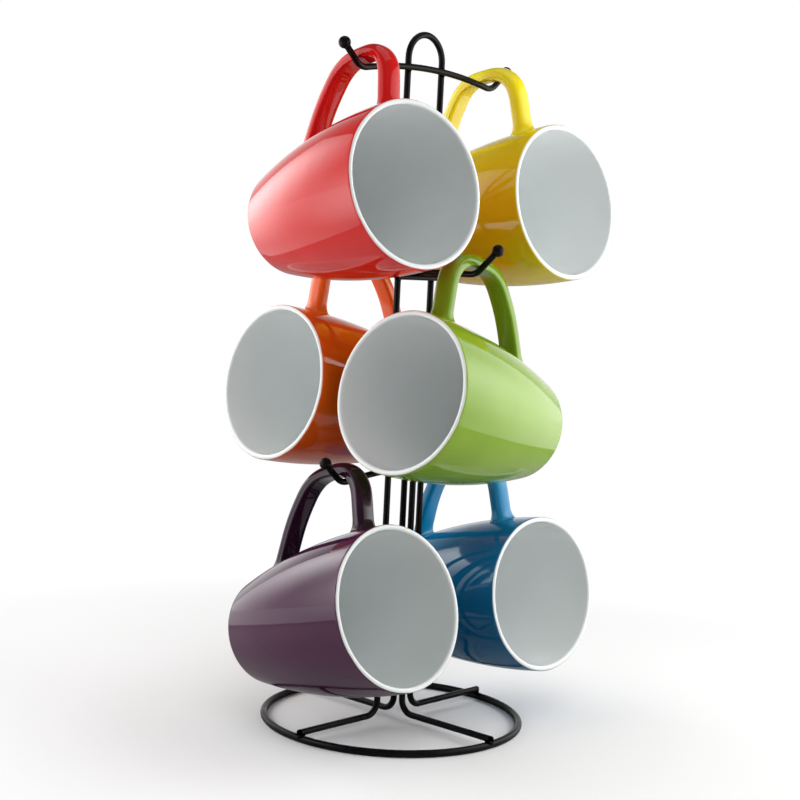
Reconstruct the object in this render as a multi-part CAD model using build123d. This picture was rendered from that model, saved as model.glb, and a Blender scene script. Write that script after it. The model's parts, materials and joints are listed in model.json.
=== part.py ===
from build123d import *

import os
from math import atan2, cos, radians, sin, sqrt, tan

# Countertop mug tree of bent and welded wire, with six stoneware mugs hung on it.
#
# Frame: origin at the centre of the base ring, on the table. +Z is up. The tall loop
# stands parallel to the XZ plane. The upper and lower hook wires run along X, with their
# mugs' mouths towards -Y. The middle one runs along Y, with its mugs' mouths towards -X.
# Every length is in millimetres and every angle in degrees.

# ---- Wire stock ----
ring_wire_d = 4.2
frame_wire_d = 3.7
hook_wire_d = 3.6
weld_set_down = 0.35        # how far two crossing wires sink together at a weld

# ---- Base ring and tall loop ----
ring_d = 150.0              # centre line of the base ring's wire
loop_height = 400.0         # table to the top of the loop
loop_leg_spacing = 28.4     # centre line to centre line
loop_y = -1.4               # the loop's plane, just in front of the ring's centre
foot_bend_r = 8.0           # centre line of the bend from upright to foot
foot_overrun = 1.5          # how far a foot ends past the ring's centre line
strut_overrun = 4.5         # how far a strut ends above the lower hook wire's centre line

# ---- Hook wires ----
upper_seat_share = 0.93475  # height of the seats, where the handles hang, as shares of the
middle_seat_share = 0.65975  # loop's height
lower_seat_share = 0.36325
side_seat_reach = 52.6      # seat to the wire's middle, on the upper and lower wires
side_arch = 4.9             # height of the wire's middle above its seats
side_tip_length = 12.8      # straight from the hook's bend to the ball's centre
middle_seat_reach = 45.5    # the middle wire is straight between its two hooks
middle_tip_length = 16.5
middle_wire_x = -2.5        # between the loop's legs, a little towards the mouths
hook_bend_r = 10.0
tip_angle = 42.0            # slope of a hook's tip above the level
ball_d = 6.8
ball_socket_depth = 4.4     # how deep the wire enters its ball
cross_bar_length = 38.0

# ---- Mug body ----
mug_rim_d = 90.0
mug_waist_d = 83.8          # outside, at half the height
mug_heel_d = 59.2           # outside, at the base before the heel is rounded
mug_height = 112.0
mug_wall = 3.0
mug_floor = 4.5
lip_round_r = 1.4
heel_round_r = 5.0
inner_floor_round_r = 9.0
foot_recess_d = 42.0
foot_recess_depth = 1.8
foot_recess_round_r = 0.8

# ---- Mug handle ----
# Depths are measured from the rim's plane along the mug, and reaches from its axis.
handle_width = 12.8
handle_thickness = 7.6
handle_edge_r = 3.4         # the strap's rounded edges
handle_front_depth = 23.4   # centre line of the straight front leg
handle_top_reach = 82.2     # centre line of the top
handle_rear_depth = 62.5    # where the top's line meets the back leg's line
handle_knee = (60.7, 81.0)  # (reach, depth) of the back leg's gentle knee
handle_root = (35.0, 94.0)  # (reach, depth) of the back leg's root
front_bend_r = 16.5
rear_bend_r = 26.0
knee_bend_r = 90.0
luting_gap = 0.05           # the film of slip that joins a handle's roots to the body
root_sink = 3.0             # how deep a leg's centre line starts below the body's skin
flare_height = 8.0          # height of the thickened root above the body's skin
flare_extra = 5.0           # how much wider the root is than the strap
flare_blend = 0.6           # how much narrower the flare ends, so that it dies into the strap

# ---- How the mugs hang ----
hang_gap = 1.5              # air between the wire and the middle of the handle's inside

# Each mug: which wire, which end of it (-1 or 1), tilt of the mouth above the level,
# turn of the mouth outwards, and lean of the body outwards from the handle's hook.
mugs = {
    "red_mug": dict(wire="upper", end=-1, tilt=11.2, turn=6.8, lean=7.0),
    "yellow_mug": dict(wire="upper", end=1, tilt=9.5, turn=-1.5, lean=6.2),
    "green_mug": dict(wire="middle", end=-1, tilt=12.4, turn=1.2, lean=2.2),
    "orange_mug": dict(wire="middle", end=1, tilt=8.6, turn=5.0, lean=0.0),
    "purple_mug": dict(wire="lower", end=-1, tilt=17.5, turn=2.4, lean=8.0),
    "blue_mug": dict(wire="lower", end=1, tilt=9.2, turn=-2.0, lean=6.2),
}

# ---- Worked out from the sizes above ----
ring_r = ring_d / 2
frame_wire_r = frame_wire_d / 2
hook_wire_r = hook_wire_d / 2
leg_x = loop_leg_spacing / 2
upper_seat_z = loop_height * upper_seat_share
middle_seat_z = loop_height * middle_seat_share
lower_seat_z = loop_height * lower_seat_share
foot_z = ring_wire_d + frame_wire_r - weld_set_down
foot_reach = ring_r + foot_overrun
hook_wire_y = loop_y - (frame_wire_r + hook_wire_r - weld_set_down)
front_strut_y = 2 * hook_wire_y - loop_y
cross_bar_z = middle_seat_z - hook_wire_d + weld_set_down
loop_arc_z = loop_height - frame_wire_r - leg_x
strut_top_z = lower_seat_z + side_arch + strut_overrun

wires = {
    "upper": dict(seat_z=upper_seat_z, reach=side_seat_reach, arch=side_arch,
                  tip=side_tip_length),
    "middle": dict(seat_z=middle_seat_z, reach=middle_seat_reach, arch=0,
                   tip=middle_tip_length),
    "lower": dict(seat_z=lower_seat_z, reach=side_seat_reach, arch=side_arch,
                  tip=side_tip_length),
}


# ---- Wire stand ----
def round_wire(path, diameter):
    """A round wire along a path."""
    section = Plane(origin=path @ 0, z_dir=path % 0) * Circle(diameter / 2)
    return sweep(section, path=path)


def base_ring():
    return Pos(0, 0, ring_wire_d / 2) * Torus(ring_r, ring_wire_d / 2)


def tall_loop():
    """One wire: a foot, a leg, the top's half circle, the other leg and foot."""
    right = FilletPolyline(
        (foot_reach, 0, foot_z), (leg_x, 0, foot_z), (leg_x, 0, loop_arc_z), radius=foot_bend_r
    )
    top = ThreePointArc(
        (leg_x, 0, loop_arc_z), (0, 0, loop_arc_z + leg_x), (-leg_x, 0, loop_arc_z)
    )
    left = FilletPolyline(
        (-leg_x, 0, loop_arc_z), (-leg_x, 0, foot_z), (-foot_reach, 0, foot_z), radius=foot_bend_r
    )
    path = Wire([*right.edges(), *top.edges(), *left.edges()])
    return Pos(0, loop_y, 0) * round_wire(path, frame_wire_d)


def strut(y, foot_side):
    """A short upright at y whose foot runs out to the ring on one side."""
    path = FilletPolyline(
        (0, foot_side * foot_reach, foot_z), (0, y, foot_z), (0, y, strut_top_z),
        radius=foot_bend_r,
    )
    return round_wire(path, frame_wire_d)


def ball_centre(wire):
    """Reach and height of the ball at the end of a hook wire."""
    slope = radians(tip_angle)
    reach = wire["reach"] + hook_bend_r * sin(slope) + wire["tip"] * cos(slope)
    height = wire["seat_z"] + hook_bend_r * (1 - cos(slope)) + wire["tip"] * sin(slope)
    return reach, height


def arch_radius(wire):
    """Radius of the wide arch that runs tangent into both hook bends."""
    rise = wire["arch"]
    return (wire["reach"] ** 2 + rise**2) / (2 * rise) - hook_bend_r


def bend_start(wire):
    """Where the hook's bend starts, on the side of the wire's middle: reach and height."""
    if not wire["arch"]:
        return wire["reach"], wire["seat_z"]
    share = arch_radius(wire) / (arch_radius(wire) + hook_bend_r)
    arch_centre_z = wire["seat_z"] + wire["arch"] - arch_radius(wire)
    bend_centre_z = wire["seat_z"] + hook_bend_r
    return wire["reach"] * share, arch_centre_z + (bend_centre_z - arch_centre_z) * share


def hook_path(wire):
    """A hook wire's centre line in the XZ plane: middle stretch, two bends, two rising tips."""
    reach, seat_z = wire["reach"], wire["seat_z"]
    slope = radians(tip_angle)
    in_x, in_z = bend_start(wire)
    mid_x = reach + hook_bend_r * sin(slope / 2)
    mid_z = seat_z + hook_bend_r * (1 - cos(slope / 2))
    tip_x = reach + hook_bend_r * sin(slope)
    tip_z = seat_z + hook_bend_r * (1 - cos(slope))
    ball_x, ball_z = ball_centre(wire)
    into_ball = ball_socket_depth - ball_d / 2
    end_x = ball_x + into_ball * cos(slope)
    end_z = ball_z + into_ball * sin(slope)
    if wire["arch"]:
        middle = ThreePointArc((-in_x, 0, in_z), (0, 0, seat_z + wire["arch"]), (in_x, 0, in_z))
    else:
        middle = Line((-in_x, 0, in_z), (in_x, 0, in_z))
    return Wire([
        Line((-end_x, 0, end_z), (-tip_x, 0, tip_z)),
        ThreePointArc((-tip_x, 0, tip_z), (-mid_x, 0, mid_z), (-in_x, 0, in_z)),
        middle,
        ThreePointArc((in_x, 0, in_z), (mid_x, 0, mid_z), (tip_x, 0, tip_z)),
        Line((tip_x, 0, tip_z), (end_x, 0, end_z)),
    ])


def ball_tip(wire):
    """The ball on a hook wire's +X end, with a blind socket for the wire."""
    reach, height = ball_centre(wire)
    end = Pos(reach, 0, height) * Rot(0, 90 - tip_angle, 0)
    socket = Pos(0, 0, ball_socket_depth - ball_d / 2) * Cylinder(
        hook_wire_r, 2 * ball_d, align=(Align.CENTER, Align.CENTER, Align.MAX)
    )
    return end * (Sphere(ball_d / 2) - socket)


def hook_place(name):
    """Where a hook wire sits: in front of the loop, or across it for the middle one."""
    if name == "middle":
        return Pos(middle_wire_x, 0, 0) * Rot(0, 0, 90)
    return Pos(0, hook_wire_y, 0)


def hook_wire(name):
    return hook_place(name) * round_wire(hook_path(wires[name]), hook_wire_d)


def build_stand():
    """Every wire of the stand, each cut where it beds onto the wire it is welded to."""
    ring = base_ring()
    loop = tall_loop() - ring
    back_strut = strut(loop_y, 1) - ring
    front_strut = strut(front_strut_y, -1) - ring
    cross_bar = Pos(0, hook_wire_y, cross_bar_z) * Rot(0, 90, 0) * Cylinder(
        hook_wire_r, cross_bar_length
    )
    stand = {
        "base_ring": ring,
        "tall_loop": loop,
        "back_strut": back_strut,
        "front_strut": front_strut,
        "middle_cross_bar": cross_bar - loop,
        "upper_hook_wire": hook_wire("upper") - loop,
        "middle_hook_wire": hook_wire("middle") - cross_bar,
        "lower_hook_wire": hook_wire("lower") - loop - back_strut - front_strut,
    }
    ends = {"upper": ("left", "right"), "middle": ("front", "back"), "lower": ("left", "right")}
    for name, (low_end, high_end) in ends.items():
        ball = ball_tip(wires[name])
        stand[f"{name}_{low_end}_ball_tip"] = hook_place(name) * Rot(0, 0, 180) * ball
        stand[f"{name}_{high_end}_ball_tip"] = hook_place(name) * ball
    return stand


# ---- Mug, in its own frame: rim's centre at the origin, mouth towards +Z, handle towards +X ----
def side_radius(depth):
    """Outside radius of the mug's wall at a depth below the rim, before any rounding."""
    t = depth / mug_height
    rim_part = mug_rim_d / 2 * (1 - t) * (1 - 2 * t)
    waist_part = mug_waist_d / 2 * 4 * t * (1 - t)
    heel_part = mug_heel_d / 2 * t * (2 * t - 1)
    return rim_part + waist_part + heel_part


def turned_body(inset, depth):
    """A solid of revolution under the rim, with the mug's side moved in by inset."""
    side = ThreePointArc(
        (side_radius(0) - inset, 0, 0),
        (side_radius(depth / 2) - inset, 0, -depth / 2),
        (side_radius(depth) - inset, 0, -depth),
    )
    outline = Polyline(
        (side_radius(depth) - inset, 0, -depth), (0, 0, -depth), (0, 0, 0),
        (side_radius(0) - inset, 0, 0),
    )
    return revolve(make_face([*side.edges(), *outline.edges()]), Axis.Z, 360)


def filled_mug():
    """The mug's outer shape, without its hollow."""
    outer = turned_body(0, mug_height)
    heel = outer.edges().filter_by(GeomType.CIRCLE).sort_by(Axis.Z)[0]
    return fillet(heel, heel_round_r)


def mug_body():
    hollow = turned_body(mug_wall, mug_height - mug_floor)
    floor_edge = hollow.edges().filter_by(GeomType.CIRCLE).sort_by(Axis.Z)[0]
    hollow = fillet(floor_edge, inner_floor_round_r)
    recess = Pos(0, 0, -mug_height) * Cylinder(
        foot_recess_d / 2, foot_recess_depth, align=(Align.CENTER, Align.CENTER, Align.MIN)
    )
    recess_edge = recess.edges().filter_by(GeomType.CIRCLE).sort_by(Axis.Z)[-1]
    body = filled_mug() - hollow - fillet(recess_edge, foot_recess_round_r)
    lip_edges = body.edges().filter_by(GeomType.CIRCLE).sort_by(Axis.Z)[-2:]
    return fillet(lip_edges, lip_round_r)


def strap_section(place, extra):
    return place * RectangleRounded(
        handle_width + extra, handle_thickness + extra, handle_edge_r + extra / 2
    )


def root_flare(start, direction):
    """The thickened root of a leg, narrowing to the strap's own section."""
    wide = Plane(origin=start, x_dir=(0, 1, 0), z_dir=direction)
    narrow = wide.offset(root_sink + flare_height)
    return loft([strap_section(wide, flare_extra), strap_section(narrow, -flare_blend)])


def mug_handle():
    """A round-edged strap swept round the handle's path and cut to the mug's outer skin."""
    front_start = Vector(side_radius(handle_front_depth) - root_sink, 0, -handle_front_depth)
    root = Vector(handle_root[0], 0, -handle_root[1])
    knee = Vector(handle_knee[0], 0, -handle_knee[1])
    back_way = (knee - root).normalized()
    back_start = root - back_way * root_sink
    path = FilletPolyline(
        front_start,
        (handle_top_reach, 0, -handle_front_depth),
        (handle_top_reach, 0, -handle_rear_depth),
        knee,
        back_start,
        radius=[front_bend_r, rear_bend_r, knee_bend_r],
    )
    start = Plane(origin=path @ 0, x_dir=(0, 1, 0), z_dir=path % 0)
    strap = sweep(strap_section(start, 0), path=path)
    strap = strap + root_flare(front_start, (1, 0, 0)) + root_flare(back_start, back_way)
    return strap - turned_body(-luting_gap, mug_height)


# ---- Hanging each mug ----
def hang_height(depth):
    """Reach of the hook wire's centre line below the handle's top, at a depth."""
    inset = handle_thickness / 2 + hook_wire_r + hang_gap
    drop = handle_top_reach - handle_knee[0]
    run = handle_knee[1] - handle_rear_depth
    top_start = handle_front_depth + front_bend_r
    top_end = handle_rear_depth - rear_bend_r * tan(atan2(drop, run) / 2)
    if depth < top_start:
        bend_r, offset = front_bend_r, top_start - depth
    elif depth > top_end:
        bend_r, offset = rear_bend_r, depth - top_end
    else:
        return handle_top_reach - inset
    return handle_top_reach - bend_r + sqrt((bend_r - inset) ** 2 - offset**2)


def hook_point(mug):
    """Where a mug hangs: a point on its hook wire's centre line."""
    wire = wires[mug["wire"]]
    outwards = mug["end"] * wire["reach"]
    if mug["wire"] == "middle":
        return Vector(middle_wire_x, outwards, wire["seat_z"])
    return Vector(outwards, hook_wire_y, wire["seat_z"])


def mug_directions(mug):
    """Unit vectors of a hung mug: nominal level mouth direction, mouth, and handle."""
    level, outward = Vector(0, -1, 0), Vector(mug["end"], 0, 0)
    if mug["wire"] == "middle":
        level, outward = Vector(-1, 0, 0), Vector(0, mug["end"], 0)
    tilt, turn, lean = (radians(mug[key]) for key in ("tilt", "turn", "lean"))
    up = Vector(0, 0, 1)
    facing = level * cos(turn) + outward * sin(turn)
    across = outward * cos(turn) - level * sin(turn)
    mouth = facing * cos(tilt) + up * sin(tilt)
    upright = up * cos(tilt) - facing * sin(tilt)
    return level, mouth, upright * cos(lean) - across * sin(lean)


def mass_centre(solids):
    total = sum(solid.volume for solid in solids)
    return sum((solid.center(CenterOf.MASS) * solid.volume for solid in solids), Vector()) / total


def mug_place(mug, centre):
    """Hang a mug so that its centre of mass is plumb below the hook wire."""
    level, mouth, handle = mug_directions(mug)
    reach_centre, depth_centre = centre.X, -centre.Z
    lever = handle.dot(level) / mouth.dot(level)
    depth = depth_centre
    for _ in range(8):
        depth = depth_centre + (hang_height(depth) - reach_centre) * lever
    origin = hook_point(mug) - handle * hang_height(depth) + mouth * depth
    return Plane(origin=origin, x_dir=handle, z_dir=mouth).location


def build_mugs():
    body, handle = mug_body(), mug_handle()
    centre = mass_centre([body, handle])
    placed = {}
    for name, mug in mugs.items():
        place = mug_place(mug, centre)
        placed[f"{name}_body"] = place * body
        placed[f"{name}_handle"] = place * handle
    return placed


nodes = {**build_stand(), **build_mugs()}

os.makedirs("parts", exist_ok=True)
for name, solid in nodes.items():
    export_step(solid, f"parts/{name}.step")
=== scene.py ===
import json
import math

import bpy
from mathutils import Matrix, Vector


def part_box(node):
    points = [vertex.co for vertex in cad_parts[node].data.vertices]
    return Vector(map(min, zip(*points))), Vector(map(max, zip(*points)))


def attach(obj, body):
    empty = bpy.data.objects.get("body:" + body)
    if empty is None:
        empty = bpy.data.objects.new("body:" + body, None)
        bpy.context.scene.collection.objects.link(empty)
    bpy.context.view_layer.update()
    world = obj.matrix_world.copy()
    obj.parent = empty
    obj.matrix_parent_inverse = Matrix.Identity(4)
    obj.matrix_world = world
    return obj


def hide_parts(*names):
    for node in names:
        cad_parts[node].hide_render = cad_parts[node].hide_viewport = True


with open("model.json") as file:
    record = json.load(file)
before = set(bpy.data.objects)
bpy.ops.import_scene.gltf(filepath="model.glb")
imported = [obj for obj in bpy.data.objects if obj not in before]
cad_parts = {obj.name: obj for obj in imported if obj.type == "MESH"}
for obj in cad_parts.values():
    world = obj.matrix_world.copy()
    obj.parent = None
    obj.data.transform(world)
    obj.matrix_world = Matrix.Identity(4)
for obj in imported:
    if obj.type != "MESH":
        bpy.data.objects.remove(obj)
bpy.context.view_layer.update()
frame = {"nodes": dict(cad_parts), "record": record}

# A countertop mug tree of black wire with six glazed stoneware mugs. Lengths are in metres
# and angles in degrees, in the part's own frame: +Z up, the base ring's centre at the origin.


# ---- Bent wires of the stand ----
# Drawn steel rod, bent round formers into a ring, a tall loop, two struts, a cross bar and
# three hook wires, and resistance-welded where they cross. The whole stand is then powder
# coated satin black, and the handles have rubbed the hooks a little smoother where they hang.
coat_dark = (0.0022, 0.0022, 0.0024, 1)
coat_light = (0.006, 0.006, 0.0064, 1)
coat_rubbed = (0.014, 0.014, 0.0145, 1)
coat_roughness = (0.24, 0.36)
rubbed_roughness = 0.16
rubbed_reach = 0.009        # how far from a hook's seat the coat is rubbed
rubbed_core = 0.35          # share of that reach that is rubbed all through
hook_seats = {"upper": [], "middle": [], "lower": []}
for mount in frame["record"]["mounts"]:
    if mount["name"].endswith("_hook"):
        hook_seats[mount["name"].split("_")[0]].append(mount["pos_m"])


def add_node(tree, kind, inputs=(), **settings):
    """One shader node. Each input is a plain value or another node's output."""
    node = tree.nodes.new(kind)
    for name, value in settings.items():
        setattr(node, name, value)
    for key, value in dict(inputs).items():
        if isinstance(value, bpy.types.NodeSocket):
            tree.links.new(value, node.inputs[key])
        else:
            node.inputs[key].default_value = value
    return node


def two_tone(tree, share, low, high, low_at=0.0, high_at=1.0):
    """A colour that runs from low to high as share goes from low_at to high_at."""
    ramp = add_node(tree, "ShaderNodeValToRGB", {"Fac": share})
    first, last = ramp.color_ramp.elements
    first.position, first.color = low_at, low
    last.position, last.color = high_at, high
    return ramp.outputs["Color"]


def remapped(tree, value, from_low, from_high, to_low, to_high):
    """A value carried over from one range to another, and held at its ends."""
    return add_node(tree, "ShaderNodeMapRange", {
        "Value": value, "From Min": from_low, "From Max": from_high,
        "To Min": to_low, "To Max": to_high,
    }).outputs["Result"]


def mixed(tree, share, low, high):
    """Two colours mixed by a share from 0 to 1."""
    node = add_node(tree, "ShaderNodeMix", data_type="RGBA")
    for slot, value in ((0, share), (6, low), (7, high)):
        if isinstance(value, bpy.types.NodeSocket):
            tree.links.new(value, node.inputs[slot])
        else:
            node.inputs[slot].default_value = value
    return node.outputs[2]


def new_finish(name):
    """An empty material and its node tree, with the shader and the output joined up."""
    finish = bpy.data.materials.new(name)
    finish.use_nodes = True
    tree = finish.node_tree
    tree.nodes.clear()
    shader = add_node(tree, "ShaderNodeBsdfPrincipled")
    add_node(tree, "ShaderNodeOutputMaterial", {"Surface": shader.outputs["BSDF"]})
    return finish, tree, shader


def powder_coat(name, rubbed=()):
    """Satin black powder coat: fine orange peel, uneven gloss, and rubbed spots on the hooks."""
    finish, tree, shader = new_finish(name)
    place = add_node(tree, "ShaderNodeTexCoord").outputs["Object"]
    cloud = add_node(tree, "ShaderNodeTexNoise", {
        "Vector": place, "Scale": 140, "Detail": 3, "Roughness": 0.6}).outputs["Fac"]
    peel = add_node(tree, "ShaderNodeTexNoise", {
        "Vector": place, "Scale": 1500, "Detail": 2, "Roughness": 0.5}).outputs["Fac"]
    colour = two_tone(tree, cloud, coat_dark, coat_light, 0.3, 0.7)
    roughness = remapped(tree, cloud, 0.3, 0.7, *coat_roughness)
    for seat in rubbed:
        far = add_node(tree, "ShaderNodeVectorMath", {0: place, 1: seat}, operation="DISTANCE")
        wear = remapped(
            tree, far.outputs["Value"], rubbed_core * rubbed_reach, rubbed_reach, 1, 0)
        patchy = add_node(tree, "ShaderNodeMath", {0: wear, 1: cloud}, operation="MULTIPLY")
        colour = mixed(tree, patchy.outputs[0], colour, coat_rubbed)
        smoother = add_node(tree, "ShaderNodeMapRange", {
            "Value": wear, "To Min": roughness, "To Max": rubbed_roughness})
        roughness = smoother.outputs["Result"]
    bump = add_node(tree, "ShaderNodeBump", {
        "Height": peel, "Strength": 0.22, "Distance": 0.00006})
    for socket, value in (("Base Color", colour), ("Roughness", roughness),
                          ("Normal", bump.outputs["Normal"])):
        tree.links.new(value, shader.inputs[socket])
    shader.inputs["Specular IOR Level"].default_value = 0.14
    return finish


plain_coat = powder_coat("satin_black_powder_coat")
for node_name, cad_node in frame["nodes"].items():
    if node_name.endswith(("_body", "_handle")):
        continue
    coat = plain_coat
    if node_name.endswith("_hook_wire"):
        coat = powder_coat(f"rubbed_coat_{node_name}", hook_seats[node_name.split("_")[0]])
    for material_slot in cad_node.material_slots:
        material_slot.material = coat


# ---- Welds, wire ends and ball necks ----
# Where two wires cross, the resistance weld has squeezed a little metal out into the corner.
# The ring's ends are butted and dressed, cut wire ends are deburred, and the coat has pooled
# where each ball meets its wire. All of it is under the same satin black powder coat.
ring_wire_r = 0.0021
frame_wire_r = 0.00185
hook_wire_r = 0.0018
ball_r = 0.0034
set_down = 0.00035          # how far two crossing wires sink together at a weld
leg_x = 0.0142              # half the spacing of the tall loop's legs
side_arch = 0.0049          # the side wires' middle above their seats
arch_radius = 0.2725        # of a side wire's centre line, from hook to hook
tip_slope = 42.0            # of a hook's tip above the level
corner_fill = 0.00085       # radius of the metal squeezed out at a weld
fill_unevenness = 0.14
fill_sink = 0.7             # how deep a weld's hidden side lies, as a share of the wire
fill_steps = 48
fill_rows = 6
neck_fill = 0.0010          # radius of the coat's fillet behind a ball
end_round = 0.0006          # radius of a deburred edge
end_lap = 0.0007            # how far an end's skin laps back over its wire
end_skin = 0.00002
butt_bulge = 0.00018
butt_half_length = 0.0022
butt_sink = 0.00003
butt_bearing = 62.0         # where on the ring its ends meet, from +X towards +Y
table_gap = 0.00002         # a dressed piece stays this far above the table

loop_low, loop_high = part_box("tall_loop")
bar_low, bar_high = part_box("middle_cross_bar")
middle_low, middle_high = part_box("middle_hook_wire")
ring_centre_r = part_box("base_ring")[1].x - ring_wire_r
loop_y = (loop_low.y + loop_high.y) / 2
foot_z = loop_low.z + frame_wire_r
foot_end = loop_high.x
hook_y = loop_y - frame_wire_r - hook_wire_r + set_down
cross_bar_z = bar_low.z + hook_wire_r
cross_bar_end = bar_high.x
middle_wire_x = (middle_low.x + middle_high.x) / 2
middle_wire_z = middle_low.z + hook_wire_r
crown_z = {level: hook_seats[level][0][2] - hook_wire_r + side_arch
           for level in ("upper", "lower")}
leg_cross_slope = math.asin(leg_x / arch_radius)
leg_cross_drop = arch_radius * (1 - math.cos(leg_cross_slope))
sides = {"left": (-1, 0, 0), "right": (1, 0, 0), "front": (0, -1, 0), "back": (0, 1, 0)}


def unit_frame(point, along, across):
    """A place at point whose axes are along, across and their cross product."""
    along, across = Vector(along).normalized(), Vector(across).normalized()
    axes = Matrix((along, across, along.cross(across))).transposed()
    return Matrix.Translation(Vector(point)) @ axes.to_4x4()


def coated_piece(name, place, corners, normals, faces):
    """A smooth piece of the stand in plain powder coat, riding on the stand."""
    mesh = bpy.data.meshes.new(name)
    placed = [place @ corner for corner in corners]
    mesh.from_pydata([(p.x, p.y, max(p.z, table_gap)) for p in placed], [], faces)
    mesh.materials.append(plain_coat)
    mesh.polygons.foreach_set("use_smooth", [True] * len(faces))
    mesh.update()
    turn_only = place.to_3x3()
    mesh.normals_split_custom_set_from_vertices([turn_only @ normal for normal in normals])
    piece = bpy.data.objects.new(name, mesh)
    bpy.context.scene.collection.objects.link(piece)
    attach(piece, "stand")


def corner_band(name, place, sections):
    """Metal that fills the corner between two skins, all the way round. Each section is the
    rolling ball's centre, its two touching points, and those two points sunk into the metal."""
    corners, normals = [], []
    for centre, touch, other_touch, sunk, other_sunk in sections:
        first, last = (touch - centre).normalized(), (other_touch - centre).normalized()
        angle = first.angle(last)
        radius = (touch - centre).length
        for i in range(fill_rows):
            a = angle * i / (fill_rows - 1)
            way = (first * math.sin(angle - a) + last * math.sin(a)) / math.sin(angle)
            corners.append(centre + way * radius)
            normals.append(-way)
        corners += [other_sunk, sunk]
        normals += [-last, -first]
    row = fill_rows + 2
    faces = []
    for k in range(len(sections)):
        low, high = k * row, (k + 1) % len(sections) * row
        for i in range(row):
            n = (i + 1) % row
            faces.append([low + i, low + n, high + n, high + i])
    coated_piece(name, place, corners, normals, faces)


def weld(name, point, along, across, own_r, other_r, uneven):
    """Squeezed-out metal where a wire at point, running along, rests on a wire running across."""
    gap = own_r + other_r - set_down
    sections = []
    for k in range(fill_steps):
        t = 2 * math.pi * k / fill_steps
        fill = corner_fill * (1 + fill_unevenness * math.sin(t + uneven)
                              + fill_unevenness / 2 * math.sin(3 * t + 2 * uneven))
        own, other = own_r + fill, other_r + fill
        low, high = gap - other, own
        z = (low + high) / 2 + (high - low) / 2 * math.cos(2 * t)
        x = math.copysign(math.sqrt(max(other**2 - (z - gap) ** 2, 0)), math.cos(t))
        y = math.copysign(math.sqrt(max(own**2 - z**2, 0)), math.sin(t))
        own_share, other_share = own_r / own, other_r / other
        sections.append((
            Vector((x, y, z)),
            Vector((x, y * own_share, z * own_share)),
            Vector((x * other_share, y, gap + (z - gap) * other_share)),
            Vector((x, y * own_share * fill_sink, z * own_share * fill_sink)),
            Vector((x * other_share * fill_sink, y, gap + (z - gap) * other_share * fill_sink)),
        ))
    corner_band(name, unit_frame(point, along, across), sections)


def ball_neck(name, centre, outwards):
    """The coat's fillet between a ball and the wire that enters it from below."""
    back = -math.sqrt((ball_r + neck_fill) ** 2 - (hook_wire_r + neck_fill) ** 2)
    share = ball_r / (ball_r + neck_fill)
    wire_sink, ball_sink = 0.8, 0.9
    sections = []
    for k in range(fill_steps):
        a = 2 * math.pi * k / fill_steps
        neck = Vector((back, 0, 0))
        spoke = Vector((0, math.cos(a), math.sin(a)))
        fill_centre = neck + spoke * (hook_wire_r + neck_fill)
        sections.append((
            fill_centre,
            neck + spoke * hook_wire_r,
            fill_centre * share,
            neck + spoke * hook_wire_r * wire_sink,
            fill_centre * share * ball_sink,
        ))
    slope = math.radians(tip_slope)
    along = Vector(outwards) * math.cos(slope) + Vector((0, 0, math.sin(slope)))
    across = Vector((0, 0, 1)).cross(Vector(outwards))
    corner_band(name, unit_frame(centre, along, across), sections)


def lathe_skin(name, place, outline):
    """A closed turned skin about the place's first axis. outline is (along, radius) pairs."""
    corners, normals, faces = [], [], []
    for i, (x, r) in enumerate(outline):
        before, after = outline[max(i - 1, 0)], outline[min(i + 1, len(outline) - 1)]
        lean = Vector((before[1] - after[1], after[0] - before[0])).normalized()
        for k in range(fill_steps):
            a = 2 * math.pi * k / fill_steps
            spoke = Vector((0, math.cos(a), math.sin(a)))
            corners.append(Vector((x, 0, 0)) + spoke * r)
            normals.append(Vector((lean.x, 0, 0)) + spoke * lean.y)
    for i in range(len(outline) - 1):
        for k in range(fill_steps):
            n = (k + 1) % fill_steps
            low, high = i * fill_steps, (i + 1) * fill_steps
            faces.append([low + k, high + k, high + n, low + n])
    faces.append(list(range(fill_steps)))
    last = (len(outline) - 1) * fill_steps
    faces.append([last + k for k in reversed(range(fill_steps))])
    coated_piece(name, place, corners, normals, faces)


def wire_end(name, end, outwards, radius):
    """The deburred end of a cut wire: a lap over the wire, a quarter round and a flat face."""
    skin_r = radius + end_skin
    turn = [math.pi / 2 * i / 6 for i in range(7)]
    outline = [(-end_lap - 0.0001, radius - 0.0002), (-end_lap, skin_r)]
    outline += [(end_round * math.sin(a), skin_r - end_round * (1 - math.cos(a))) for a in turn]
    outline.append((end_round * 1.05, 0.0002))
    across = (1, 0, 0) if outwards == (0, 0, 1) else (0, 0, 1)
    lathe_skin(name, unit_frame(end, outwards, across), outline)


for side, sign in (("left", -1), ("right", 1)):
    crossing = (math.cos(leg_cross_slope), 0, -sign * math.sin(leg_cross_slope))
    weld(f"weld_{side}_foot", (sign * ring_centre_r, loop_y, foot_z), (1, 0, 0), (0, -1, 0),
         frame_wire_r, ring_wire_r, 1.0 + sign)
    wire_end(f"end_{side}_foot", (sign * foot_end, loop_y, foot_z), sides[side], frame_wire_r)
    for level in ("upper", "lower"):
        weld(f"weld_{level}_{side}_leg", (sign * leg_x, hook_y, crown_z[level] - leg_cross_drop),
             crossing, (0, 0, -1), hook_wire_r, frame_wire_r, 2.0 + sign)
    weld(f"weld_cross_bar_{side}", (sign * leg_x, hook_y, cross_bar_z), (1, 0, 0), (0, 0, -1),
         hook_wire_r, frame_wire_r, 3.0 + sign)
    wire_end(f"end_cross_bar_{side}", (sign * cross_bar_end, hook_y, cross_bar_z),
             sides[side], hook_wire_r)
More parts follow.
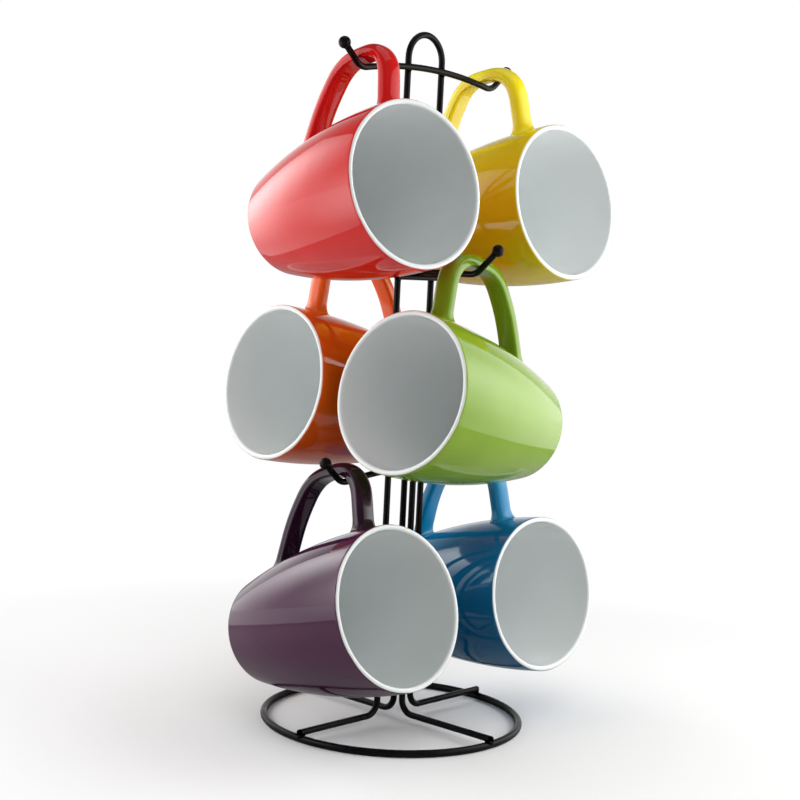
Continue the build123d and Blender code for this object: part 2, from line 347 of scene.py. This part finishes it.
for side, sign in (("front", -1), ("back", 1)):
    strut_y = hook_y + sign * (loop_y - hook_y)
    strut_top_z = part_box(f"{side}_strut")[1].z
    weld(f"weld_{side}_foot", (0, sign * ring_centre_r, foot_z), (0, 1, 0), (1, 0, 0),
         frame_wire_r, ring_wire_r, 4.0 + sign)
    wire_end(f"end_{side}_foot", (0, sign * foot_end, foot_z), sides[side], frame_wire_r)
    weld(f"weld_lower_{side}_strut", (0, hook_y, crown_z["lower"]), (1, 0, 0), (0, 0, -sign),
         hook_wire_r, frame_wire_r, 5.0 + sign)
    wire_end(f"end_{side}_strut", (0, strut_y, strut_top_z), (0, 0, 1), frame_wire_r)
weld("weld_middle_hook", (middle_wire_x, hook_y, middle_wire_z), (0, 1, 0), (1, 0, 0),
     hook_wire_r, hook_wire_r, 6.0)
for node_name in frame["nodes"]:
    if node_name.endswith("_ball_tip"):
        low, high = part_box(node_name)
        side = node_name.split("_")[1]
        ball_neck(node_name.replace("_ball_tip", "_ball_neck"), (low + high) / 2, sides[side])
butt_a = math.radians(butt_bearing)
butt_way = Vector((math.cos(butt_a), math.sin(butt_a), 0))
butt_place = butt_way * ring_centre_r + Vector((0, 0, ring_wire_r))
butt_outline = [
    (butt_half_length * t, ring_wire_r - butt_sink + butt_bulge * math.cos(math.pi / 2 * t) ** 2)
    for t in (i / 8 for i in range(-8, 9))
]
lathe_skin("ring_butt_weld", unit_frame(butt_place, (-butt_way.y, butt_way.x, 0), (0, 0, 1)),
           butt_outline)


# ---- Mug bodies ----
# Stoneware, jiggered as one turned wall, floor and foot. The inside and the lip are glazed
# white, the outside is dipped in a coloured glaze that stops at the lip's outer edge, and
# the foot ring is wiped clean and left as bare fired clay.
rim_radius = 0.045
waist_radius = 0.0419
heel_radius = 0.0296
mug_height = 0.112
wall = 0.0030
floor_thickness = 0.0045
lip_round = 0.0014
heel_round = 0.005
inner_floor_round = 0.009
recess_radius = 0.021
recess_depth = 0.0018
recess_round = 0.0008
turning_steps = 144
foot_edge_round = 0.0004
glaze_line = (-0.00065, -0.0003)    # where the coloured glaze fades out, from the lip's plane
glaze_line_wobble = 0.00015
lip_white = (0.80, 0.81, 0.79)
halvings = 60                       # how often a searched range is halved

# Each mug: the side its mouth faces, the side its body leans to, the tilt of its mouth above
# the level, the turn of its mouth to that side, and its lean. Then its glaze: the colour where
# it is deep, where it runs thin, on the handle with painted light and shade in it, and how white
# the lining is, with the light that falls into that mug painted in.
mugs = {
    "red_mug": dict(
        faces="front", leans_to="left", tilt=11.2, turn=6.8, lean=7.0, deep=(0.60, 0.012, 0.010),
        thin=(0.66, 0.020, 0.017), handle_painted_light=(0.56, 0.008, 0.008), lining_painted_light=0.76),
    "yellow_mug": dict(
        faces="front", leans_to="right", tilt=9.5, turn=-1.5, lean=6.2, deep=(0.72, 0.52, 0.006),
        thin=(0.80, 0.62, 0.012), handle_painted_light=(0.92, 0.80, 0.02), lining_painted_light=0.85),
    "green_mug": dict(
        faces="left", leans_to="front", tilt=12.4, turn=1.2, lean=2.2, deep=(0.20, 0.34, 0.016),
        thin=(0.25, 0.40, 0.028), handle_painted_light=(0.15, 0.27, 0.010), lining_painted_light=0.80),
    "orange_mug": dict(
        faces="left", leans_to="back", tilt=8.6, turn=5.0, lean=0.0, deep=(0.80, 0.09, 0.006),
        thin=(0.84, 0.13, 0.012), handle_painted_light=(0.80, 0.13, 0.010), lining_painted_light=0.84),
    "purple_mug": dict(
        faces="front", leans_to="left", tilt=17.5, turn=2.4, lean=8.0, deep=(0.058, 0.012, 0.042),
        thin=(0.080, 0.017, 0.059), handle_painted_light=(0.008, 0.0025, 0.0075), lining_painted_light=0.76),
    "blue_mug": dict(
        faces="front", leans_to="right", tilt=9.2, turn=-2.0, lean=6.2, deep=(0.004, 0.14, 0.32),
        thin=(0.008, 0.19, 0.39), handle_painted_light=(0.010, 0.27, 0.52), lining_painted_light=0.81),
}


def side_radius(depth):
    """Outside radius of the wall at a depth below the rim."""
    t = depth / mug_height
    return (rim_radius * (1 - t) * (1 - 2 * t) + waist_radius * 4 * t * (1 - t)
            + heel_radius * t * (2 * t - 1))


def side_slope(depth):
    """How fast the outside radius grows with depth."""
    small = 1e-6
    return (side_radius(depth + small) - side_radius(depth - small)) / (2 * small)


def rounded_corner(inset, towards_axis, ball, centre_depth):
    """Where a ball with its centre at centre_depth touches the wall: (centre, touching point)
    as (radius, depth) pairs. The wall's skin is moved in by inset."""
    low, high = 0.0, mug_height
    for _ in range(halvings):
        depth = (low + high) / 2
        slope = side_slope(depth)
        normal = Vector((1, -slope)).normalized()
        touch = Vector((side_radius(depth) - inset, depth))
        centre = touch - normal * ball * towards_axis
        if centre.y < centre_depth:
            low = depth
        else:
            high = depth
    return centre, touch


def arc_points(centre, start, end, steps):
    """Points on the short arc round centre from start to end, both ends included."""
    first, last = start - centre, end - centre
    start_angle = math.atan2(first.y, first.x)
    turn = (math.atan2(last.y, last.x) - start_angle + math.pi) % (2 * math.pi) - math.pi
    angles = [start_angle + turn * i / steps for i in range(steps + 1)]
    return [centre + first.length * Vector((math.cos(a), math.sin(a))) for a in angles]


def wall_points(inset, start, end, steps):
    """Points down or up the wall's skin between two depths, without the first and the last."""
    depths = [start + (end - start) * i / steps for i in range(1, steps)]
    return [Vector((side_radius(depth) - inset, depth)) for depth in depths]


def mug_profile():
    """The turned outline from the middle of the underside, round the lip, to the middle of
    the inside floor: a list of ((radius, depth), finish number up to the next point)."""
    colour, white, clay = 0, 1, 2
    heel_centre, heel_touch = rounded_corner(0, 1, heel_round, mug_height - heel_round)
    lip_centre, lip_touch = rounded_corner(0, 1, lip_round, lip_round)
    inner_lip_centre, inner_lip_touch = rounded_corner(wall, -1, lip_round, lip_round)
    inner_depth = mug_height - floor_thickness
    floor_centre, floor_touch = rounded_corner(
        wall, 1, inner_floor_round, inner_depth - inner_floor_round)
    ceiling = mug_height - recess_depth
    recess_centre = Vector((recess_radius - recess_round, ceiling + recess_round))
    edge = foot_edge_round
    edge_centre = Vector((recess_radius + edge, mug_height - edge))

    def towards(centre, r, d, radius):
        return centre + Vector((r, d)) * radius

    runs = [
        (colour, [Vector((recess_radius * s, ceiling)) for s in (0.0, 0.3, 0.6, 0.85)]),
        (colour, arc_points(recess_centre, towards(recess_centre, 0, -1, recess_round),
                            towards(recess_centre, 1, 0, recess_round), 4)),
        (clay, arc_points(edge_centre, towards(edge_centre, -1, 0, edge),
                          towards(edge_centre, 0, 1, edge), 4)),
        (clay, [Vector((recess_radius + edge + (heel_centre.x - recess_radius - edge) * s,
                        mug_height)) for s in (0.33, 0.66)]),
    ]
    heel_arc = arc_points(heel_centre, towards(heel_centre, 0, 1, heel_round), heel_touch, 14)
    runs += [(clay, heel_arc[:3]), (colour, heel_arc[3:])]
    runs += [
        (colour, wall_points(0, heel_touch.y, lip_touch.y, 56)),
        (colour, [lip_touch]),
        (colour, arc_points(lip_centre, lip_touch, towards(lip_centre, 0, -1, lip_round), 8)[1:]),
        (white, arc_points(inner_lip_centre, towards(inner_lip_centre, 0, -1, lip_round),
                           inner_lip_touch, 8)),
        (white, wall_points(wall, inner_lip_touch.y, floor_touch.y, 44)),
        (white, arc_points(floor_centre, floor_touch,
                           towards(floor_centre, 0, 1, inner_floor_round), 12)),
        (white, [Vector((floor_centre.x * s, inner_depth)) for s in (0.8, 0.55, 0.3, 0.0)]),
    ]
    return [(point, finish) for finish, points in runs for point in points]


def turned_mesh(profile, steps):
    """Corners and faces of a closed turned body. The profile starts and ends on the axis."""
    corners, faces, finishes = [], [], []
    rings = []
    for (radius, depth), _ in profile:
        if radius < 1e-7:
            rings.append([len(corners)] * steps)
            corners.append(Vector((0, 0, -depth)))
            continue
        rings.append([len(corners) + k for k in range(steps)])
        for k in range(steps):
            a = 2 * math.pi * k / steps
            corners.append(Vector((radius * math.cos(a), radius * math.sin(a), -depth)))
    for row in range(len(rings) - 1):
        low, high = rings[row], rings[row + 1]
        for k in range(steps):
            n = (k + 1) % steps
            loop = [low[k], low[n], high[n], high[k]]
            faces.append(list(dict.fromkeys(loop)))
            finishes.append(profile[row][1])
    return corners, faces, finishes


def mug_axes(mug):
    """The hung mug's axes as columns: towards the handle, across, out of the mouth."""
    level = Vector(sides[mug["faces"]])
    side = Vector(sides[mug["leans_to"]])
    up = Vector((0, 0, 1))
    tilt, turn, lean = (math.radians(mug[angle]) for angle in ("tilt", "turn", "lean"))
    facing = level * math.cos(turn) + side * math.sin(turn)
    across = side * math.cos(turn) - level * math.sin(turn)
    mouth = facing * math.cos(tilt) + up * math.sin(tilt)
    upright = up * math.cos(tilt) - facing * math.sin(tilt)
    handle = upright * math.cos(lean) - across * math.sin(lean)
    return Matrix((handle, mouth.cross(handle), mouth)).transposed()


def hung_place(node_name, axes, corners):
    """The mug's own frame, turned to its axes and set into its CAD solid's box."""
    turned = [axes @ corner for corner in corners]
    middle = [(min(p[i] for p in turned) + max(p[i] for p in turned)) / 2 for i in range(3)]
    low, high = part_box(node_name)
    shift = (low + high) / 2 - Vector(middle)
    return Matrix.Translation(shift) @ axes.to_4x4()


def make_piece(name, corners, faces, place, finishes=None, materials=()):
    """A smooth mesh object. It keeps each corner's place on the mug in mug_point."""
    mesh = bpy.data.meshes.new(name)
    mesh.from_pydata([place @ corner for corner in corners], [], faces)
    own = mesh.attributes.new("mug_point", "FLOAT_VECTOR", "POINT")
    own.data.foreach_set("vector", [value for corner in corners for value in corner])
    for material in materials:
        mesh.materials.append(material)
    if finishes:
        mesh.polygons.foreach_set("material_index", finishes)
    mesh.polygons.foreach_set("use_smooth", [True] * len(faces))
    mesh.update()
    piece = bpy.data.objects.new(name, mesh)
    bpy.context.scene.collection.objects.link(piece)
    return piece


def glaze(name, deep, thin, has_lip_line):
    """Glossy fired glaze: slow drift of depth, a faint ripple, and a soft edge at the lip."""
    finish, tree, shader = new_finish(name)
    place = add_node(tree, "ShaderNodeAttribute", attribute_name="mug_point").outputs["Vector"]
    drift = add_node(tree, "ShaderNodeTexNoise", {
        "Vector": place, "Scale": 26, "Detail": 2, "Roughness": 0.5}).outputs["Fac"]
    ripple = add_node(tree, "ShaderNodeTexNoise", {
        "Vector": place, "Scale": 75, "Detail": 1, "Roughness": 0.4}).outputs["Fac"]
    pits = add_node(tree, "ShaderNodeTexNoise", {
        "Vector": place, "Scale": 900, "Detail": 2, "Roughness": 0.6}).outputs["Fac"]
    colour = two_tone(tree, drift, (*deep, 1), (*thin, 1), 0.35, 0.95)
    if has_lip_line:
        depth = add_node(tree, "ShaderNodeSeparateXYZ", {"Vector": place}).outputs["Z"]
        wobble = remapped(tree, ripple, 0.3, 0.7, -glaze_line_wobble, glaze_line_wobble)
        level = add_node(tree, "ShaderNodeMath", {0: depth, 1: wobble}, operation="ADD")
        bare = remapped(tree, level.outputs[0], *glaze_line, 0, 1)
        colour = mixed(tree, bare, colour, (*lip_white, 1))
    roughness = remapped(tree, drift, 0.3, 0.7, 0.045, 0.085)
    fine = add_node(tree, "ShaderNodeBump", {
        "Height": pits, "Strength": 0.03, "Distance": 0.00002})
    broad = add_node(tree, "ShaderNodeBump", {
        "Height": ripple, "Strength": 0.12, "Distance": 0.0006, "Normal": fine.outputs["Normal"]})
    for socket, value in (("Base Color", colour), ("Roughness", roughness),
                          ("Normal", broad.outputs["Normal"])):
        tree.links.new(value, shader.inputs[socket])
    shader.inputs["IOR"].default_value = 1.52
    return finish


def fired_clay(name):
    """Bare fired clay of the foot ring: matt, off-white, finely speckled."""
    finish, tree, shader = new_finish(name)
    place = add_node(tree, "ShaderNodeAttribute", attribute_name="mug_point").outputs["Vector"]
    grain = add_node(tree, "ShaderNodeTexNoise", {
        "Vector": place, "Scale": 1100, "Detail": 4, "Roughness": 0.7}).outputs["Fac"]
    bump = add_node(tree, "ShaderNodeBump", {
        "Height": grain, "Strength": 0.5, "Distance": 0.0001})
    for socket, value in (
        ("Base Color", two_tone(tree, grain, (0.50, 0.46, 0.40, 1), (0.72, 0.69, 0.63, 1), 0.3, 0.7)),
        ("Roughness", remapped(tree, grain, 0.3, 0.7, 0.7, 0.9)),
        ("Normal", bump.outputs["Normal"]),
    ):
        tree.links.new(value, shader.inputs[socket])
    return finish


bare_clay = fired_clay("bare_fired_clay")
mug_outline = mug_profile()
body_corners, body_faces, body_finishes = turned_mesh(mug_outline, turning_steps)
mug_places = {}
handle_glazes_painted_light = {}
for mug_name, mug in mugs.items():
    axes = mug_axes(mug)
    mug_places[mug_name] = hung_place(f"{mug_name}_body", axes, body_corners)
    slot_name = mug_name.replace("_mug", "_glaze")
    body_glaze = glaze(slot_name, mug["deep"], mug["thin"], True)
    # The lining's whiteness has painted light in it: whiter in the mugs that get more light inside.
    white = mug["lining_painted_light"]
    lining_glaze_painted_light = glaze(f"{mug_name}_white_lining", (0.96 * white, white, 0.995 * white),
                        (white, white + 0.03, white + 0.025), False)
    # The handle's glaze colour has painted light and shade in it, lighter on some handles and darker
    # on others.
    handle_glazes_painted_light[mug_name] = glaze(f"{slot_name}_handle_painted_light", mug["handle_painted_light"], mug["deep"], False)
    piece = make_piece(
        f"{mug_name}_turned_body", body_corners, body_faces, mug_places[mug_name],
        body_finishes, (body_glaze, lining_glaze_painted_light, bare_clay),
    )
    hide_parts(f"{mug_name}_body")
    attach(piece, mug_name)


# ---- Mug handles ----
# A pulled strap of the same clay, rounded on the back and flatter inside the loop, bent round
# and luted to the wall with slip. Wet sponging smooths its roots into the wall. Each handle's
# colour has painted light and shade in it: lighter on the yellow, blue and orange handles and
# darker on the red, green and purple ones.
strap_width = 0.0128
strap_thickness = 0.0076
strap_back_share = 0.64         # share of the thickness that lies behind the widest line
strap_back_squareness = 2.3     # 2 is an oval, and more is squarer
strap_inside_squareness = 4.5
strap_corners = (               # of the centre line: out from the mug's axis, and along it
    (0.0417, -0.0234), (0.0822, -0.0234), (0.0822, -0.0625), (0.0607, -0.081), (0.0323, -0.0954),
)
strap_bends = (0.0165, 0.026, 0.090)
strap_fairing = 0.003           # the reach over which the bends are eased
strap_spacing = 0.0014
strap_steps = 56
root_height = 0.0075
root_spread = 0.0030
root_sink = 0.0012
root_steps = 14
root_search = 0.03              # how far the skin may lie from the strap's end


def bent_path(points, bends, spacing):
    """Points along straight runs joined by arcs, from the first point to the last."""
    points = [Vector(p) for p in points]
    path = [points[0]]
    for i, bend in enumerate(bends, 1):
        into = (points[i] - points[i - 1]).normalized()
        out = (points[i + 1] - points[i]).normalized()
        half = into.angle(out) / 2
        setback = bend * math.tan(half)
        first, last = points[i] - into * setback, points[i] + out * setback
        bisector = (out - into).normalized()
        centre = points[i] + bisector * (bend / math.cos(half))
        path.append(first)
        path += arc_points(centre, first, last, max(4, int(2 * half * bend / spacing)))[1:]
    path.append(points[-1])
    return even_points(path, spacing)


def even_points(path, spacing):
    """The same line with its points about spacing apart, all alike."""
    lengths = [0.0]
    for a, b in zip(path, path[1:]):
        lengths.append(lengths[-1] + (b - a).length)
    count = max(2, round(lengths[-1] / spacing))
    points, k = [], 0
    for i in range(count + 1):
        at = lengths[-1] * i / count
        while k < len(path) - 2 and lengths[k + 1] < at:
            k += 1
        share = (at - lengths[k]) / max(lengths[k + 1] - lengths[k], 1e-12)
        points.append(path[k].lerp(path[k + 1], min(max(share, 0.0), 1.0)))
    return points


def faired(path, spacing, reach):
    """The line with its change of curvature eased over about reach."""
    count = int(3 * reach / spacing)
    weights = [math.exp(-0.5 * (i * spacing / reach) ** 2) for i in range(-count, count + 1)]
    eased = []
    for i, point in enumerate(path):
        total, weight_sum = Vector((0, 0)), 0.0
        width = min(count, i, len(path) - 1 - i)
        for j in range(-width, width + 1):
            weight = weights[j + count]
            total += path[i + j] * weight
            weight_sum += weight
        eased.append(total / weight_sum)
    return eased


def strap_outline(extra=0.0):
    """The strap's oval section as (across, outward) pairs, spread by extra all round."""
    pairs = []
    for k in range(strap_steps):
        a = 2 * math.pi * k / strap_steps
        c, s = math.cos(a), math.sin(a)
        share = strap_back_share if s < 0 else 1 - strap_back_share
        power = 2 / (strap_back_squareness if s < 0 else strap_inside_squareness)
        across = math.copysign(abs(c) ** power, c) * strap_width / 2
        outward = math.copysign(abs(s) ** power, s) * share + strap_back_share - 0.5
        outward *= strap_thickness
        normal = Vector((c / strap_width, s / (2 * share * strap_thickness))).normalized()
        pairs.append(Vector((across, outward)) + normal * extra)
    return pairs


def skin_distance(point, direction):
    """How far to go from point along direction, from inside the wall, to reach the skin."""
    low, high = -root_search, root_search
    for _ in range(halvings):
        middle = (low + high) / 2
        at = point + direction * middle
        if math.hypot(at.x, at.y) < side_radius(-at.z):
            low = middle
        else:
            high = middle
    return (low + high) / 2


def skin_normal(point):
    """The way straight out of the wall's skin at a point on it."""
    slope = side_slope(-point.z)
    radial = Vector((point.x, point.y, 0)).normalized()
    return (radial + Vector((0, 0, slope))).normalized()


def root_rings(start, direction, outward):
    """Rings from inside the wall, over the sponged root, to the plain strap above it. start is
    on the strap's centre line at the wall, and direction points out of the wall along it."""
    across_axis = Vector((0, 1, 0))

    def ring(height, spread):
        made = []
        for across, out in strap_outline(spread):
            base = start + across_axis * across + outward * out
            made.append(base + direction * (skin_distance(base, direction) + height))
        return made

    rings = []
    for i in range(root_steps + 1):
        a = math.pi / 2 * (1 - i / root_steps)
        rings.append(ring(root_height * (1 - math.sin(a)), root_spread * (1 - math.cos(a))))
    sunk = [corner - skin_normal(corner) * root_sink for corner in rings[0]]
    return [sunk] + rings


def handle_mesh():
    """The strap with both its roots: corners, faces and the number of rings."""
    spacing = strap_spacing
    flat_path = faired(bent_path(strap_corners, strap_bends, spacing), spacing, strap_fairing)
    path = [Vector((p.x, 0, p.y)) for p in flat_path]
    tangents = [(path[min(i + 1, len(path) - 1)] - path[max(i - 1, 0)]).normalized()
                for i in range(len(path))]
    across_axis = Vector((0, 1, 0))

    def outward_at(i):
        return across_axis.cross(tangents[i]).normalized()

    front = root_rings(path[0], tangents[0], outward_at(0))
    back = root_rings(path[-1], -tangents[-1], outward_at(-1))
    start_reach = max((corner - path[0]).dot(tangents[0]) for corner in front[-1])
    end_reach = max((corner - path[-1]).dot(-tangents[-1]) for corner in back[-1])
    total = (len(path) - 1) * spacing
    rings = list(front)
    for i in range(len(path)):
        along = i * spacing
        if start_reach + spacing < along < total - end_reach - spacing:
            out = outward_at(i)
            rings.append([path[i] + across_axis * a + out * o for a, o in strap_outline()])
    rings += reversed(back)
    corners = [corner for ring in rings for corner in ring]
    faces = []
    for row in range(len(rings) - 1):
        for k in range(strap_steps):
            n = (k + 1) % strap_steps
            low, high = row * strap_steps, (row + 1) * strap_steps
            faces.append([low + k, high + k, high + n, low + n])
    faces.append(list(range(strap_steps)))
    last = (len(rings) - 1) * strap_steps
    faces.append([last + k for k in reversed(range(strap_steps))])
    return corners, faces, len(rings)


def ease_into_wall(piece, ring_count, place):
    """The visible ends of the roots take the wall's own normals, so no seam shows."""
    mesh = piece.data
    turn_only = place.to_3x3()
    own = [loop_normal.vector.copy() for loop_normal in mesh.corner_normals]
    edge_rows = (1, ring_count - 2)
    visible_rows = range(1, ring_count - 2)
    for polygon in mesh.polygons:
        row = min(index // strap_steps for index in polygon.vertices)
        if row not in visible_rows or len(polygon.vertices) > 4:
            for loop in polygon.loop_indices:
                own[loop] = polygon.normal
            continue
        for loop in polygon.loop_indices:
            index = mesh.loops[loop].vertex_index
            if index // strap_steps in edge_rows:
                own[loop] = turn_only @ skin_normal(handle_corners[index])
    mesh.normals_split_custom_set(own)


handle_corners, handle_faces, handle_rings = handle_mesh()
for mug_name in mugs:
    piece = make_piece(f"{mug_name}_pulled_handle", handle_corners, handle_faces,
                       mug_places[mug_name], None, (handle_glazes_painted_light[mug_name],))
    ease_into_wall(piece, handle_rings, mug_places[mug_name])
    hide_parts(f"{mug_name}_handle")
    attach(piece, mug_name)


# ---- Floor, lamps and camera ----
# A plain white sweep between two cloth panels that are lit from behind, which the glazes mirror,
# with weaker panels further off to fill the shade. In a mirror the room is white behind the
# stand and dim in front of it.
floor_size = 12.0
floor_colour = (0.90, 0.90, 0.90, 1)    # as the camera sees it
table_painted_shade = (0.42, 0.42, 0.42, 1)      # as the mugs see it: painted shade under the stand, and further out
table_far = (0.75, 0.75, 0.75, 1)
floor_fade = (0.16, 0.42)               # from the stand's middle, where it turns plain white
floor_in_mirror = 0.35                  # brightness of the far floor in a mirror
room_fill_strength = 0.16
room_front, room_behind = 0.08, 1.0     # brightness of the room in a mirror
behind_fade = (0.45, 0.9)               # from dim to white, towards straight behind the stand
above_fade = (0.62, 0.15)               # and from high up down to the level
cloth_reach = 0.37                      # from the stand's middle to each side cloth
cloth_middle = 0.305                    # height of each side cloth's middle
cloth_size = (0.8, 0.6)
bearing = 47.66                         # of the camera, from -Y towards -X
camera_distance = 0.9360
camera_height = 0.2686
view_heading = 47.42                    # from +Y towards +X
view_pitch = -4.86
view_roll = 2.82
lens = 72.72


def camera_side_point(right, nearer, height):
    """A point given as seen from the camera: right, towards the camera, and up."""
    a = math.radians(bearing)
    to_right = Vector((math.cos(a), -math.sin(a), 0))
    to_camera = Vector((-math.sin(a), -math.cos(a), 0))
    return to_right * right + to_camera * nearer + Vector((0, 0, height))


def lit_cloth(name, place, facing, size, plain, spots=(), in_mirror=True):
    """A cloth panel lit through from behind. plain is how bright it looks all over. Each spot
    is (across, up, reach, extra): a soft bright patch, in metres from the panel's middle."""
    lamp = bpy.data.lights.new(name, "AREA")
    lamp.shape = "RECTANGLE"
    lamp.size, lamp.size_y = size
    lamp.energy = math.pi * size[0] * size[1]
    lamp.use_nodes = True
    tree = lamp.node_tree
    tree.nodes.clear()
    cell = add_node(tree, "ShaderNodeNewGeometry").outputs["Parametric"]
    where = add_node(tree, "ShaderNodeVectorMath", {
        0: cell, 1: (size[0], size[1], 0), 2: (-size[0] / 2, -size[1] / 2, 0)},
        operation="MULTIPLY_ADD").outputs["Vector"]
    bright = add_node(tree, "ShaderNodeValue").outputs["Value"]
    bright.default_value = plain
    for across, up, reach, extra in spots:
        far = add_node(tree, "ShaderNodeVectorMath", {0: where, 1: (across, up, 0)},
                       operation="DISTANCE").outputs["Value"]
        glow = add_node(tree, "ShaderNodeMapRange", {
            "Value": far, "From Min": 0, "From Max": reach, "To Min": extra, "To Max": 0},
            interpolation_type="SMOOTHSTEP").outputs["Result"]
        bright = add_node(tree, "ShaderNodeMath", {0: bright, 1: glow}).outputs[0]
    shader = add_node(tree, "ShaderNodeEmission", {"Strength": bright})
    add_node(tree, "ShaderNodeOutputLight", {"Surface": shader.outputs[0]})
    panel = bpy.data.objects.new(name, lamp)
    panel.location = place
    panel.visible_glossy = in_mirror
    panel.rotation_euler = facing.to_track_quat("-Z", "Y").to_euler()
    bpy.context.scene.collection.objects.link(panel)


to_right = camera_side_point(1, 0, 0)
lit_cloth("left_cloth", camera_side_point(-cloth_reach, 0, cloth_middle), to_right, cloth_size,
          0.7, ((-0.22, 0.055, 0.28, 2.7), (0.15, -0.075, 0.24, 2.2)))
lit_cloth("right_cloth", camera_side_point(cloth_reach, 0, cloth_middle), -to_right, cloth_size,
          1.05, ((-0.02, 0.035, 0.26, 1.9), (0.12, -0.085, 0.28, 1.0)))
# The cloths that fill the shade: place, height that each is turned to, size and brightness.
for name, place, faced_height, size, plain in (
    ("front_cloth", (0.3, 1.3, 1.6), 0.20, (1.0, 1.0), 2.3),
    ("front_right_cloth", (1.2, 1.2, 0.4), 0.20, (1.0, 0.7), 1.2),
    ("far_left_cloth", (-1.2, 0.3, 0.6), 0.25, (1.2, 1.0), 1.1),
    ("far_right_cloth", (1.2, 0.2, 0.6), 0.25, (1.2, 1.0), 1.1),
):
    hung_at = camera_side_point(*place)
    lit_cloth(name, hung_at, Vector((0, 0, faced_height)) - hung_at, size, plain, in_mirror=False)
lit_cloth("top_cloth", camera_side_point(0, 0, 1.1), Vector((0, 0, -1)), (0.8, 0.8), 0.6)

room = bpy.data.worlds.new("white_room")
bpy.context.scene.world = room
room.use_nodes = True
room_tree = room.node_tree
room_tree.nodes.clear()
room_rays = add_node(room_tree, "ShaderNodeLightPath")


def seen_directly(tree, rays):
    """1 for rays from the camera, in a mirror or through glass, otherwise 0."""
    seen = add_node(tree, "ShaderNodeMath", {
        0: rays.outputs["Is Camera Ray"], 1: rays.outputs["Is Glossy Ray"]}, operation="MAXIMUM")
    return add_node(tree, "ShaderNodeMath", {
        0: seen.outputs[0], 1: rays.outputs["Is Transmission Ray"]},
        operation="MAXIMUM").outputs[0]


room_fill = add_node(room_tree, "ShaderNodeBackground", {
    "Color": (1, 1, 1, 1), "Strength": room_fill_strength})
room_way = add_node(room_tree, "ShaderNodeTexCoord").outputs["Generated"]
behind = add_node(room_tree, "ShaderNodeVectorMath", {
    0: room_way, 1: camera_side_point(0, -1, 0)}, operation="DOT_PRODUCT").outputs["Value"]
room_up = add_node(room_tree, "ShaderNodeSeparateXYZ", {"Vector": room_way}).outputs["Z"]
backdrop = add_node(room_tree, "ShaderNodeMath", {
    0: remapped(room_tree, behind, *behind_fade, 0, 1),
    1: remapped(room_tree, room_up, *above_fade, 0, 1)}, operation="MULTIPLY").outputs[0]
mirrored = remapped(room_tree, backdrop, 0, 1, room_front, room_behind)
through = add_node(room_tree, "ShaderNodeMath", {
    0: room_rays.outputs["Is Camera Ray"], 1: room_rays.outputs["Is Transmission Ray"]},
    operation="MAXIMUM").outputs[0]
room_brightness = add_node(room_tree, "ShaderNodeMath", {
    0: mirrored, 1: through}, operation="MAXIMUM").outputs[0]
room_seen = add_node(room_tree, "ShaderNodeBackground", {
    "Color": (1, 1, 1, 1), "Strength": room_brightness})
room_mix = add_node(room_tree, "ShaderNodeMixShader", {
    0: seen_directly(room_tree, room_rays), 1: room_fill.outputs[0], 2: room_seen.outputs[0]})
add_node(room_tree, "ShaderNodeOutputWorld", {"Surface": room_mix.outputs[0]})

floor_mesh = bpy.data.meshes.new("white_sweep")
half = floor_size / 2
floor_mesh.from_pydata(
    [(-half, -half, 0), (half, -half, 0), (half, half, 0), (-half, half, 0)], [], [(0, 1, 2, 3)])
white_sweep = bpy.data.objects.new("white_sweep", floor_mesh)
bpy.context.scene.collection.objects.link(white_sweep)
sweep_finish = bpy.data.materials.new("white_sweep")
sweep_finish.use_nodes = True
sweep_tree = sweep_finish.node_tree
sweep_tree.nodes.clear()
sweep_place = add_node(sweep_tree, "ShaderNodeTexCoord").outputs["Object"]
sweep_far = add_node(sweep_tree, "ShaderNodeVectorMath", {0: sweep_place}, operation="LENGTH")
sweep_fade = remapped(sweep_tree, sweep_far.outputs["Value"], *floor_fade, 0, 1)
sweep_rays = add_node(sweep_tree, "ShaderNodeLightPath")
# The floor that the mugs see is darker towards the stand: painted shade.
table_tint_painted_shade = mixed(sweep_tree, sweep_fade, table_painted_shade, table_far)
sweep_tint = mixed(sweep_tree, sweep_rays.outputs["Is Camera Ray"], table_tint_painted_shade, floor_colour)
sweep_lit = add_node(sweep_tree, "ShaderNodeBsdfDiffuse", {"Color": sweep_tint})
sweep_white = add_node(sweep_tree, "ShaderNodeEmission", {
    "Color": (1, 1, 1, 1),
    "Strength": remapped(
        sweep_tree, sweep_rays.outputs["Is Glossy Ray"], 0, 1, 1.0, floor_in_mirror)})
sweep_share = add_node(sweep_tree, "ShaderNodeMath", {
    0: sweep_fade, 1: seen_directly(sweep_tree, sweep_rays)}, operation="MULTIPLY")
sweep_mix = add_node(sweep_tree, "ShaderNodeMixShader", {
    0: sweep_share.outputs[0], 1: sweep_lit.outputs[0], 2: sweep_white.outputs[0]})
add_node(sweep_tree, "ShaderNodeOutputMaterial", {"Surface": sweep_mix.outputs[0]})
floor_mesh.materials.append(sweep_finish)

camera_data = bpy.data.cameras.new("front_camera")
camera_data.lens = lens
camera_data.sensor_width = 36.0
camera_data.clip_start, camera_data.clip_end = 0.05, 50.0
front_camera = bpy.data.objects.new("front_camera", camera_data)
heading, pitch, roll = (math.radians(angle) for angle in (view_heading, view_pitch, view_roll))
ahead = Vector((math.sin(heading) * math.cos(pitch), math.cos(heading) * math.cos(pitch),
                math.sin(pitch)))
level_right = Vector((math.cos(heading), -math.sin(heading), 0))
level_up = level_right.cross(ahead)
camera_right = level_right * math.cos(roll) + level_up * math.sin(roll)
camera_up = level_up * math.cos(roll) - level_right * math.sin(roll)
camera_axes = Matrix((camera_right, camera_up, -ahead)).transposed()
camera_place = camera_side_point(0, camera_distance, camera_height)
front_camera.matrix_world = Matrix.Translation(camera_place) @ camera_axes.to_4x4()
bpy.context.scene.collection.objects.link(front_camera)
bpy.context.scene.camera = front_camera
bpy.context.scene.view_settings.view_transform = "Standard"
